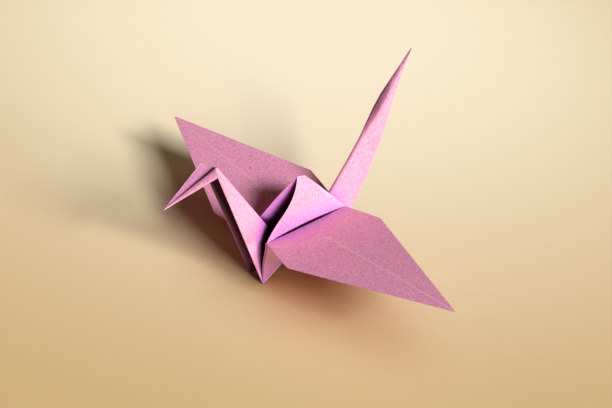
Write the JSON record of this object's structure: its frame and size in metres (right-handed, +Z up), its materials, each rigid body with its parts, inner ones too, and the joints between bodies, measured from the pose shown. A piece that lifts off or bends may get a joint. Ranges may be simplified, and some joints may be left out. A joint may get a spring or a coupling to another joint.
{
  "type": "origami crane",
  "caption": "Folded paper crane with a ridged hump, level wings, a raised tail and a neck with its head turned down.",
  "frame": {"origin": "middle of the crane's outline, on the ground it stands on", "axes": "+X from the neck to the tail, +Y out along the wing on the crane's right, +Z up"},
  "size_m": [0.0928, 0.1306, 0.066],
  "materials": {
    "paper": "matte, finely fibrous"
  },
  "bodies": {
    "root": {"folded_sheet": "paper"}
  },
  "joints": []
}
